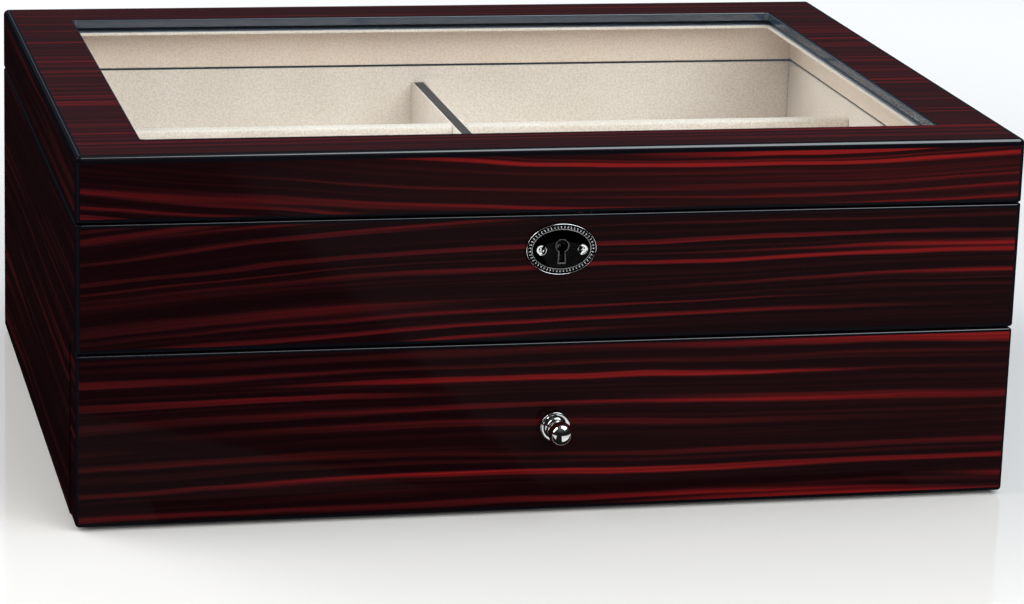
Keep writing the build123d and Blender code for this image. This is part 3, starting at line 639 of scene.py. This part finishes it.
def pane_finish():
    """Clear flat glass that lets light straight through, with a weak mirror image on it."""
    material = bpy.data.materials.new("clear_pane")
    material.use_nodes = True
    tree = material.node_tree
    tree.nodes.remove(tree.nodes["Principled BSDF"])
    clear = tree.nodes.new("ShaderNodeBsdfTransparent")
    clear.inputs["Color"].default_value = (0.985, 0.993, 0.990, 1.0)
    gloss = tree.nodes.new("ShaderNodeBsdfGlossy")
    gloss.inputs["Roughness"].default_value = 0.0
    mirror = tree.nodes.new("ShaderNodeFresnel")
    mirror.inputs["IOR"].default_value = 1.10
    side = tree.nodes.new("ShaderNodeNewGeometry")
    outside = tree.nodes.new("ShaderNodeMath")
    outside.operation = "SUBTRACT"
    outside.inputs[0].default_value = 1.0
    tree.links.new(side.outputs["Backfacing"], outside.inputs[1])
    share = tree.nodes.new("ShaderNodeMath")
    share.operation = "MULTIPLY"
    tree.links.new(mirror.outputs[0], share.inputs[0])
    tree.links.new(outside.outputs[0], share.inputs[1])
    mix = tree.nodes.new("ShaderNodeMixShader")
    tree.links.new(share.outputs[0], mix.inputs[0])
    tree.links.new(clear.outputs[0], mix.inputs[1])
    tree.links.new(gloss.outputs[0], mix.inputs[2])
    tree.links.new(mix.outputs[0], tree.nodes["Material Output"].inputs["Surface"])
    return material


clear_pane = pane_finish()


# CAD nodes whose shapes stay: their finishes
def give(material, *names):
    for name in names:
        node = nodes[name]
        if node.material_slots:
            for material_slot in node.material_slots:
                material_slot.material = material
        else:
            node.data.materials.append(material)


give(lid_veneer, "lid_top_frame", "lid_left_rail", "lid_right_rail")
give(lid_veneer, "lid_front_rail", "lid_back_rail")
give(rail_veneer, "case_front_rail")
give(case_veneer, "case_left_side", "case_right_side", "case_back")
give(drawer_veneer, "drawer_front")
give(stained_board, "case_shelf", "case_bottom", "drawer_stop_strip", "drawer_left_side")
give(stained_board, "drawer_right_side", "drawer_back", "drawer_bottom")
give(clear_pane, "lid_glass")
give(hardware_steel, "lock_case", "lock_bolt", "lock_strike", "knob_screw")
for hinge_side in ("left", "right"):
    give(nickel, f"hinge_{hinge_side}_case_leaf", f"hinge_{hinge_side}_lid_leaf")
    give(nickel, f"hinge_{hinge_side}_pin")


def node_box(name):
    low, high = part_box(name)
    return low / MM, high / MM


# Velvet linings: covered card, rounded where the velvet turns over its edges
CARD_EDGE_R = 0.55


def lining(node, body):
    low, high = node_box(node)
    piece = round_all(block("velvet_" + node, low, high), CARD_EDGE_R)
    # The lid's linings take the warmer copy, with its painted warm shade
    return ready(piece, body, painted_warm_shade_velvet if body == "lid" else velvet, (node,))


for side_name in ("left", "right", "front", "back"):
    lining("tray_lining_" + side_name, "case")
    lining("lid_lining_" + side_name, "lid")
    lining("drawer_lining_" + side_name, "drawer")
lining("tray_floor_lining", "case")
lining("drawer_floor_lining", "drawer")

# Dividers: the centre one is a dark board between two velvet skins, and the cross ones are
# wrapped, with a cap strip whose edge shows on each side
SKIN_THICK = 0.95
SKIN_EDGE_R = 0.40
CORE_DROP = 0.25
CAP_LAP = 2.3
CAP_STEP = 0.16
CAP_ROUND = 1.1
JOINT_GAP = 0.22


def centre_divider(prefix, body):
    node = prefix + "_centre_divider"
    low, high = node_box(node)
    core_low = (low.x + SKIN_THICK, low.y, low.z)
    core_high = (high.x - SKIN_THICK, high.y, high.z - CORE_DROP)
    core = block("core_" + node, core_low, core_high)
    core = bevel_edges(core, 0.15, 2, lambda a, b: min(a.z, b.z) > high.z - CORE_DROP - 0.01)
    ready(core, body, divider_core, (node,))
    for side, start in (("left", low.x), ("right", high.x - SKIN_THICK)):
        skin_low = (start, low.y, low.z)
        skin_high = (start + SKIN_THICK, high.y, high.z)
        skin = block("velvet_" + side + "_of_" + node, skin_low, skin_high)
        skin = bevel_edges(skin, SKIN_EDGE_R, 3, lambda a, b: min(a.z, b.z) > high.z - 0.01)
        ready(skin, body, velvet, (node,))


def cross_divider(node, body):
    low, high = node_box(node)
    start = low.x + JOINT_GAP
    end = high.x - JOINT_GAP
    wall = block(
        "velvet_" + node,
        (start, low.y + CAP_STEP, low.z),
        (end, high.y - CAP_STEP, high.z - CAP_LAP + 0.5),
    )
    ready(wall, body, velvet, (node,))
    cap = block("cap_" + node, (start, low.y, high.z - CAP_LAP), (end, high.y, high.z))

    def top_edge(first, second):
        return min(first.z, second.z) > high.z - 0.01 and abs(first.x - second.x) > 1

    cap = bevel_edges(cap, CAP_ROUND, 5, top_edge)
    ready(cap, body, velvet, (node,))


for prefix_name, body_name in (("tray", "case"), ("drawer", "drawer")):
    centre_divider(prefix_name, body_name)
    for row_name in ("front", "rear"):
        for side_name in ("left", "right"):
            cross_divider(f"{prefix_name}_cross_divider_{row_name}_{side_name}", body_name)

# Under the pane: a velvet ring that holds it, and a thin bedding ring between the two, pale slate
# as a painted reflection of the window's lacquered lip
BEDDING_THICK = 0.22
BEDDING_WIDTH = 7.6
BEDDING_SET_BACK = 0.9
WINDOW_CORNER_R = 1.5
RETAINER_EDGE_R = 0.4


def window_ring(name, low_z, high_z, half_x, half_y, edge_r, back=0.0):
    """A flat ring from the window's edge, or from back behind it, with a rounded upper edge."""
    deselect()
    bpy.ops.mesh.primitive_plane_add(size=2 * MM, location=(0, 0, high_z * MM))
    piece = named(name)
    piece.scale = (half_x, half_y, 1)
    settle(piece)
    edit(piece, (False, False, True))
    bpy.ops.mesh.select_all(action="SELECT")
    bpy.ops.mesh.inset(thickness=(half_x - WINDOW_X - back) * MM)
    bpy.ops.mesh.delete(type="FACE")
    leave_edit()
    solid = piece.modifiers.new("thick", "SOLIDIFY")
    solid.thickness = (high_z - low_z) * MM
    solid.offset = -1.0
    bpy.ops.object.modifier_apply(modifier=solid.name)

    def window_corner(first, second):
        upright = abs(first.z - second.z) > 0.05
        return upright and abs(first.x) < WINDOW_X + 2 and abs(first.y) < WINDOW_Y + 2

    bevel_edges(piece, WINDOW_CORNER_R, 5, window_corner)
    if edge_r > 0:

        def window_rim(first, second):
            at_top = min(first.z, second.z) > high_z - 0.01
            reach_x = max(abs(first.x), abs(second.x))
            reach_y = max(abs(first.y), abs(second.y))
            return at_top and reach_x < WINDOW_X + 1 and reach_y < WINDOW_Y + 1

        bevel_edges(piece, edge_r, 3, window_rim)
    return piece


retainer_low, retainer_high = node_box("glass_retainer")
retainer = window_ring(
    "velvet_glass_retainer",
    retainer_low.z,
    retainer_high.z - BEDDING_THICK,
    retainer_high.x,
    -retainer_low.y,
    RETAINER_EDGE_R,
)
ready(retainer, "lid", velvet, ("glass_retainer",))
bedding = window_ring(
    "glass_bedding",
    retainer_high.z - BEDDING_THICK,
    retainer_high.z,
    WINDOW_X + BEDDING_WIDTH,
    WINDOW_Y + BEDDING_WIDTH,
    0.0,
    back=BEDDING_SET_BACK,
)
ready(bedding, "lid", painted_slate_bedding, ("glass_retainer",))

# Felt under the case
felt_low, felt_high = node_box("base_felt")
felt = round_all(block("felt_pad", felt_low, felt_high), 0.35)
ready(felt, "case", black_felt, ("base_felt",))

# Knob: flange, cove, neck and ball, turned in one
KNOB_BALL_R = 4.35
KNOB_BALL_REACH = 9.4
KNOB_NECK_R = 2.7


def knob_rings():
    profile = [(5.5, 0.0), (5.5, 0.98)]
    for step in range(1, 6):
        turn = math.radians(90 * step / 5)
        profile.append((4.88 + 0.62 * math.cos(turn), 0.98 + 0.62 * math.sin(turn)))
    profile.append((4.45, 1.6))
    for step in range(1, 7):
        turn = math.radians(90 * step / 6)
        profile.append((4.4 - 1.7 * math.sin(turn), 1.62 + 2.58 * (1 - math.cos(turn))))
    start = math.asin(KNOB_NECK_R / KNOB_BALL_R)
    steps = 26
    for step in range(steps + 1):
        turn = start + (math.pi - start) * step / steps
        radius = max(KNOB_BALL_R * math.sin(turn), 0.02)
        profile.append((radius, KNOB_BALL_REACH - KNOB_BALL_R * math.cos(turn)))
    return [(radius, radius, reach) for radius, reach in profile]


knob = face_front(ring_stack("ball_knob", knob_rings(), 72), 0, -HALF_DEPTH, KNOB_Z)
ready(knob, "drawer", chrome, ("drawer_knob",), 50)

# Escutcheon: an oval black field in a rim, with a ring of small ribs and a collared keyhole
OVAL_X = 12.7
OVAL_Y = 9.25
FIELD_FLOOR = 0.15
BORE_R = 1.9
KEYHOLE_RISE = 1.5
COLLAR_TOP = 1.80
RIB_COUNT = 51
RIB_INSET = 1.35

# Radius of the round part, half widths of the slot at its top and bottom, and the slot's reach
KEYHOLE = (2.1, 0.8, 1.0, 5.9)
COLLAR = (2.6, 1.2, 1.45, 6.6)


def oval_rings(steps):
    return [(OVAL_X - inset, OVAL_Y - inset, level) for inset, level in steps]


def keyhole_block(name, radius, slot_top, slot_bottom, reach, low, high):
    """A keyhole-shaped prism along +Z: a round part, and a slot that widens downwards."""
    around = ring_stack(name, [(radius, radius, low), (radius, radius, high)], 32)
    slot = block(name + "_slot", (-slot_top, -reach, low), (slot_top, 0, high))
    mesh = edit(slot)
    for vert in mesh.verts:
        vert.select = vert.co.y < -0.5 * reach * MM
    mesh.select_flush_mode()
    bmesh.update_edit_mesh(slot.data)
    bpy.ops.transform.resize(value=(slot_bottom / slot_top, 1, 1), center_override=(0, 0, 0))
    leave_edit()
    pick(around)
    modifier = around.modifiers.new("join", "BOOLEAN")
    modifier.operation = "UNION"
    modifier.solver = "EXACT"
    modifier.object = slot
    bpy.ops.object.modifier_apply(modifier=modifier.name)
    bpy.data.objects.remove(slot)
    around.location = (0, KEYHOLE_RISE * MM, 0)
    return settle(around)


def make_escutcheon():
    y = -HALF_DEPTH
    field_steps = [(0.25, 0.0), (0.25, 0.7), (2.2, 0.7), (2.26, 1.0), (2.8, 1.35), (6.0, 1.62)]
    field = ring_stack("escutcheon_field", oval_rings(field_steps), 96)
    cut_out(field, keyhole_block("keyhole_cutter", *KEYHOLE, FIELD_FLOOR, 3))
    bore_rings = [(BORE_R, BORE_R, -1), (BORE_R, BORE_R, 0.2)]
    cut_out(field, ring_stack("bore_cutter", bore_rings, 32))
    face_front(field, 0, y, KEYHOLE_Z)
    ready(field, "case", black_chrome, ("escutcheon",))

    rim_steps = [(0.0, 0.0), (0.0, 0.8), (0.08, 1.05), (0.20, 1.15), (0.34, 1.05), (0.42, 0.8)]
    rim = ring_stack("escutcheon_rim", oval_rings(rim_steps + [(0.44, 0.5)]), 96)
    cut_out(rim, ring_stack("rim_cutter", oval_rings([(0.40, -1.0), (0.40, 3.0)]), 96))
    face_front(rim, 0, y, KEYHOLE_Z)
    ready(rim, "case", chrome, ("escutcheon",), 60)

    line_steps = [(1.95, 0.6), (1.95, 0.82), (2.02, 0.92), (2.14, 0.96), (2.26, 0.9)]
    line = ring_stack("escutcheon_inner_line", oval_rings(line_steps), 96)
    hole = ring_stack("inner_line_cutter", oval_rings([(2.22, 0.0), (2.22, 3.0)]), 96)
    cut_out(line, hole)
    face_front(line, 0, y, KEYHOLE_Z)
    ready(line, "case", dark_chrome, ("escutcheon",), 60)

    collar = keyhole_block("escutcheon_collar", *COLLAR, 1.2, COLLAR_TOP)
    cut_out(collar, keyhole_block("keyhole_cutter", *KEYHOLE, -1, 3))
    face_front(collar, 0, y, KEYHOLE_Z)
    outer_y = HALF_DEPTH + COLLAR_TOP - 0.01
    bevel_edges(collar, 0.14, 2, lambda a, b: min(-a.y, -b.y) > outer_y)
    ready(collar, "case", smoked_chrome, ("escutcheon",), 30)


def rib_ring():
    """Small ribs, equally spaced round the oval, each pointing to the middle."""
    half_x = OVAL_X - RIB_INSET
    half_y = OVAL_Y - RIB_INSET
    deselect()
    bpy.ops.mesh.primitive_uv_sphere_add(segments=10, ring_count=6, radius=MM)
    rib = named("rib")
    rib.scale = (0.60, 0.30, 0.45)
    settle(rib)
    samples = 2000
    points = []
    for index in range(samples + 1):
        turn = 2 * math.pi * index / samples
        points.append((half_x * math.cos(turn), half_y * math.sin(turn)))
    lengths = [0.0]
    for first, second in zip(points, points[1:]):
        lengths.append(lengths[-1] + math.dist(first, second))
    ribs = []
    sample = 0
    for index in range(RIB_COUNT):
        wanted = lengths[-1] * index / RIB_COUNT
        while lengths[sample] < wanted:
            sample += 1
        px, py = points[sample]
        outward = math.atan2(py / half_y**2, px / half_x**2)
        ribs.append(copy_to(rib, (px, py, 0.85), Matrix.Rotation(outward, 4, "Z")))
    bpy.data.objects.remove(rib)
    ring = join(ribs, "escutcheon_ribs")
    face_front(ring, 0, -HALF_DEPTH, KEYHOLE_Z)
    ready(ring, "case", chrome, ("escutcheon",), 80)


make_escutcheon()
rib_ring()


# Cross-head screws
SCREW_X = 7.4
SCREW_SEAT = 1.5


def cross_recess(piece, half_length, half_width, top, depth):
    for half_x, half_y in ((half_length, half_width), (half_width, half_length)):
        cutter = block("recess", (-half_x, -half_y, top - depth), (half_x, half_y, top + 1))
        cut_out(piece, cutter)
    return piece


def escutcheon_screws():
    rings = [(0.7, 0.7, -1.5), (0.7, 0.7, -0.1), (1.9, 1.9, 0.0), (1.9, 1.9, 0.28)]
    rings += [(1.84, 1.84, 0.40), (1.74, 1.74, 0.44), (1.64, 1.64, 0.36), (1.60, 1.60, 0.06)]
    rings += [(1.00, 1.00, 0.06), (0.94, 0.94, 0.32), (0.78, 0.78, 0.42), (0.2, 0.2, 0.46)]
    screw = ring_stack("screw", rings, 32)
    cross_recess(screw, 0.90, 0.24, 0.46, 0.40)
    turned = []
    for x, turn in ((-SCREW_X, 24), (SCREW_X, 57)):
        turned.append(copy_to(screw, (x, 0, 0), Matrix.Rotation(math.radians(turn), 4, "Z")))
    bpy.data.objects.remove(screw)
    both = join(turned, "escutcheon_cross_screws")
    face_front(both, 0, -HALF_DEPTH - SCREW_SEAT, KEYHOLE_Z)
    ready(both, "case", chrome, ("escutcheon_screws",), 40)


def rim_screws(name, node, body, level, downwards):
    """Countersunk screws of the hinges and the lock, each turned a little differently."""
    rings = [(0.06, 0.06, -7.0), (0.9, 0.9, -6.1), (0.9, 0.9, -0.8), (1.66, 1.66, -0.04)]
    rings += [(1.6, 1.6, 0.0), (0.5, 0.5, 0.0)]
    screw = ring_stack("screw", rings, 28)
    cross_recess(screw, 1.05, 0.22, 0.0, 0.55)
    made = []
    for index, (x, y) in enumerate(screw_points(node)):
        turn = Matrix.Rotation(math.radians(17 + 53 * index), 4, "Z")
        if not downwards:
            turn = Matrix.Rotation(math.pi, 4, "X") @ turn
        made.append(copy_to(screw, (x, y, level), turn))
    bpy.data.objects.remove(screw)
    ready(join(made, name), body, nickel, (node,), 40)


def screw_points(node):
    """The middles of the separate screws of a set, found from the CAD node's loose parts."""
    mesh = bmesh.new()
    mesh.from_mesh(nodes[node].data)
    bmesh.ops.remove_doubles(mesh, verts=mesh.verts, dist=0.00001)
    seen = set()
    middles = []
    for vert in mesh.verts:
        if vert.index in seen:
            continue
        stack = [vert]
        group = []
        seen.add(vert.index)
        while stack:
            here = stack.pop()
            group.append(here.co / MM)
            for edge in here.link_edges:
                other = edge.other_vert(here)
                if other.index not in seen:
                    seen.add(other.index)
                    stack.append(other)
        xs = [co.x for co in group]
        ys = [co.y for co in group]
        middles.append(((min(xs) + max(xs)) / 2, (min(ys) + max(ys)) / 2))
    mesh.free()
    return sorted(middles)


escutcheon_screws()
rim_screws("case_cross_screws", "case_rim_screws", "case", CASE_TOP, True)
rim_screws("lid_cross_screws", "lid_rim_screws", "lid", LID_BASE, False)


# Camera, at the photograph's place
def make_camera():
    place = Vector((-0.30327, -1.35310, 0.41974))
    yaw = math.radians(13.202)
    pitch = math.radians(15.2227)
    roll = math.radians(1.8955)
    ahead = Vector(
        (math.sin(yaw) * math.cos(pitch), math.cos(yaw) * math.cos(pitch), -math.sin(pitch))
    )
    level_right = Vector((math.cos(yaw), -math.sin(yaw), 0))
    level_up = level_right.cross(ahead)
    right = math.cos(roll) * level_right + math.sin(roll) * level_up
    up = -math.sin(roll) * level_right + math.cos(roll) * level_up
    data = bpy.data.cameras.new("camera")
    data.lens = 130.42
    data.sensor_width = 36.0
    data.clip_start = 0.05
    data.clip_end = 60.0
    camera = bpy.data.objects.new("camera", data)
    bpy.context.scene.collection.objects.link(camera)
    turn = Matrix((right, up, -ahead)).transposed().to_4x4()
    camera.matrix_world = Matrix.Translation(place) @ turn
    bpy.context.scene.camera = camera


make_camera()


# Floor, cards and light
def stage_plane(name, centre, size):
    deselect()
    bpy.ops.mesh.primitive_plane_add(size=1.0, location=centre)
    piece = named(name)
    piece.scale = (size[0], size[1], 1)
    settle(piece)
    return piece


def make_floor():
    """White, with a glow at a distance that the camera sees, and the lacquer, metal and glass
    mirror or let through. It lights nothing."""
    deselect()
    bpy.ops.mesh.primitive_circle_add(vertices=96, radius=9.0, fill_type="NGON", location=(0, 0, 0))
    floor = settle(named("floor"))
    finish = Finish(
        "white_floor",
        Roughness=0.9,
        Specular_IOR_Level=0.0,
        Coat_Weight=1.0,
        Coat_Roughness=0.03,
        Coat_IOR=1.5,
    )
    finish.set("Base Color", (0.90, 0.885, 0.865, 1.0))
    x, y, z = finish.parts(finish.node("TexCoord").outputs["Object"])
    squares = finish.add(finish.times(x, x), finish.times(y, y))
    distance = finish.math("SQRT", squares)
    finish.set("Emission Color", (1.0, 1.0, 1.0, 1.0))
    glow = finish.add(finish.times(finish.step(distance, 0.18, 1.0), 0.70), 0.03)
    rays = finish.node("LightPath").outputs
    seen = finish.math("MAXIMUM", rays["Is Camera Ray"], rays["Is Glossy Ray"])
    seen = finish.math("MAXIMUM", seen, rays["Is Transmission Ray"])
    finish.set("Emission Strength", finish.times(glow, seen))
    floor.data.materials.append(finish.material)


def make_cards():
    """Dark cards on the floor in front, which only the lacquer and the metal mirror."""
    finish = Finish("dark_card", Roughness=1.0, Specular_IOR_Level=0.0)
    finish.set("Base Color", (0.01, 0.01, 0.01, 1.0))
    near_corners = ((-0.731, -0.823), (-0.070, -1.139), (-0.021, -0.148), (0.004, -0.148))
    far_corners = ((-3.0, -4.2), (3.0, -4.2), (-3.0, -0.68), (3.0, -0.68))
    foot_corners = ((-0.14, -0.162), (0.14, -0.162), (-0.14, -0.134), (0.14, -0.134))
    cards = (("near_card", near_corners), ("far_card", far_corners), ("foot_card", foot_corners))
    for level, (name, corners) in enumerate(cards):
        card = stage_plane(name, (0, 0, 0), (1, 1))
        for vert, (x, y) in zip(card.data.vertices, corners):
            vert.co = Vector((x, y, 0.0004 + 0.0002 * level))
        card.data.materials.append(finish.material)
        card.visible_camera = False
        card.visible_diffuse = False
        card.visible_shadow = False
        card.visible_transmission = False


def soft_box(name, azimuth, elevation, distance, width, height, radiance, colour=(1, 1, 1)):
    """A lamp that faces the box. Azimuth 0 is straight in front, and 90 is on the right."""
    turn = math.radians(azimuth)
    rise = math.radians(elevation)
    away = Vector(
        (math.sin(turn) * math.cos(rise), -math.cos(turn) * math.cos(rise), math.sin(rise))
    )
    data = bpy.data.lights.new(name, "AREA")
    data.shape = "RECTANGLE"
    data.size = width
    data.size_y = height
    data.energy = radiance * math.pi * width * height
    data.color = colour
    lamp = bpy.data.objects.new(name, data)
    bpy.context.scene.collection.objects.link(lamp)
    lamp.location = Vector((0, 0, 0.07)) + away * distance
    lamp.rotation_mode = "QUATERNION"
    lamp.rotation_quaternion = away.to_track_quat("Z", "Y")
    return lamp


def make_world():
    """A bright backdrop low behind the box, and a dim room elsewhere."""
    world = bpy.data.worlds.new("room")
    bpy.context.scene.world = world
    world.use_nodes = True
    tree = world.node_tree
    coordinates = tree.nodes.new("ShaderNodeTexCoord")
    split = tree.nodes.new("ShaderNodeSeparateXYZ")
    tree.links.new(coordinates.outputs["Generated"], split.inputs[0])

    def ramp(socket, stops):
        made = tree.nodes.new("ShaderNodeValToRGB")
        tree.links.new(socket, made.inputs[0])
        elements = made.color_ramp.elements
        while len(elements) < len(stops):
            elements.new(0.5)
        for element, (position, value) in zip(elements, stops):
            element.position = position
            element.color = (value, value, value, 1.0)
        return made.outputs["Color"]

    height = ramp(split.outputs["Z"], ((0.0, 1.0), (0.30, 1.0), (0.45, 0.0), (1.0, 0.0)))
    room = ramp(split.outputs["Z"], ((0.0, 0.01), (0.35, 0.01), (0.65, 0.05), (1.0, 0.12)))
    behind = ramp(split.outputs["Y"], ((0.0, 0.0), (0.25, 0.0), (0.55, 1.0), (1.0, 1.0)))
    share = tree.nodes.new("ShaderNodeMath")
    share.operation = "MULTIPLY"
    tree.links.new(height, share.inputs[0])
    tree.links.new(behind, share.inputs[1])
    mix = tree.nodes.new("ShaderNodeMix")
    mix.data_type = "RGBA"
    tree.links.new(share.outputs[0], mix.inputs[0])
    tree.links.new(room, mix.inputs[6])
    mix.inputs[7].default_value = (0.31, 0.37, 0.45, 1.0)
    tree.links.new(mix.outputs[2], tree.nodes["Background"].inputs["Color"])


def make_light():
    front = soft_box("front_soft_box", 14, 31, 1.9, 2.2, 1.0, 4.1, (1.0, 0.995, 0.985))
    front.visible_glossy = False
    soft_box("right_soft_box", 62, 62, 1.5, 1.1, 1.1, 2.6, (0.88, 0.95, 1.0))
    soft_box("left_soft_box", -105, 39, 1.5, 1.5, 1.3, 3.3, (1.0, 0.995, 0.985))
    sun_data = bpy.data.lights.new("overhead_fill", "SUN")
    sun_data.energy = 0.2
    sun_data.angle = math.radians(60)
    sun = bpy.data.objects.new("overhead_fill", sun_data)
    bpy.context.scene.collection.objects.link(sun)
    sun.rotation_euler = (math.radians(18), math.radians(12), 0)
    sun.visible_glossy = False


make_floor()
make_cards()
make_world()
make_light()

settings = bpy.context.scene.view_settings
settings.view_transform = "Standard"

deselect()
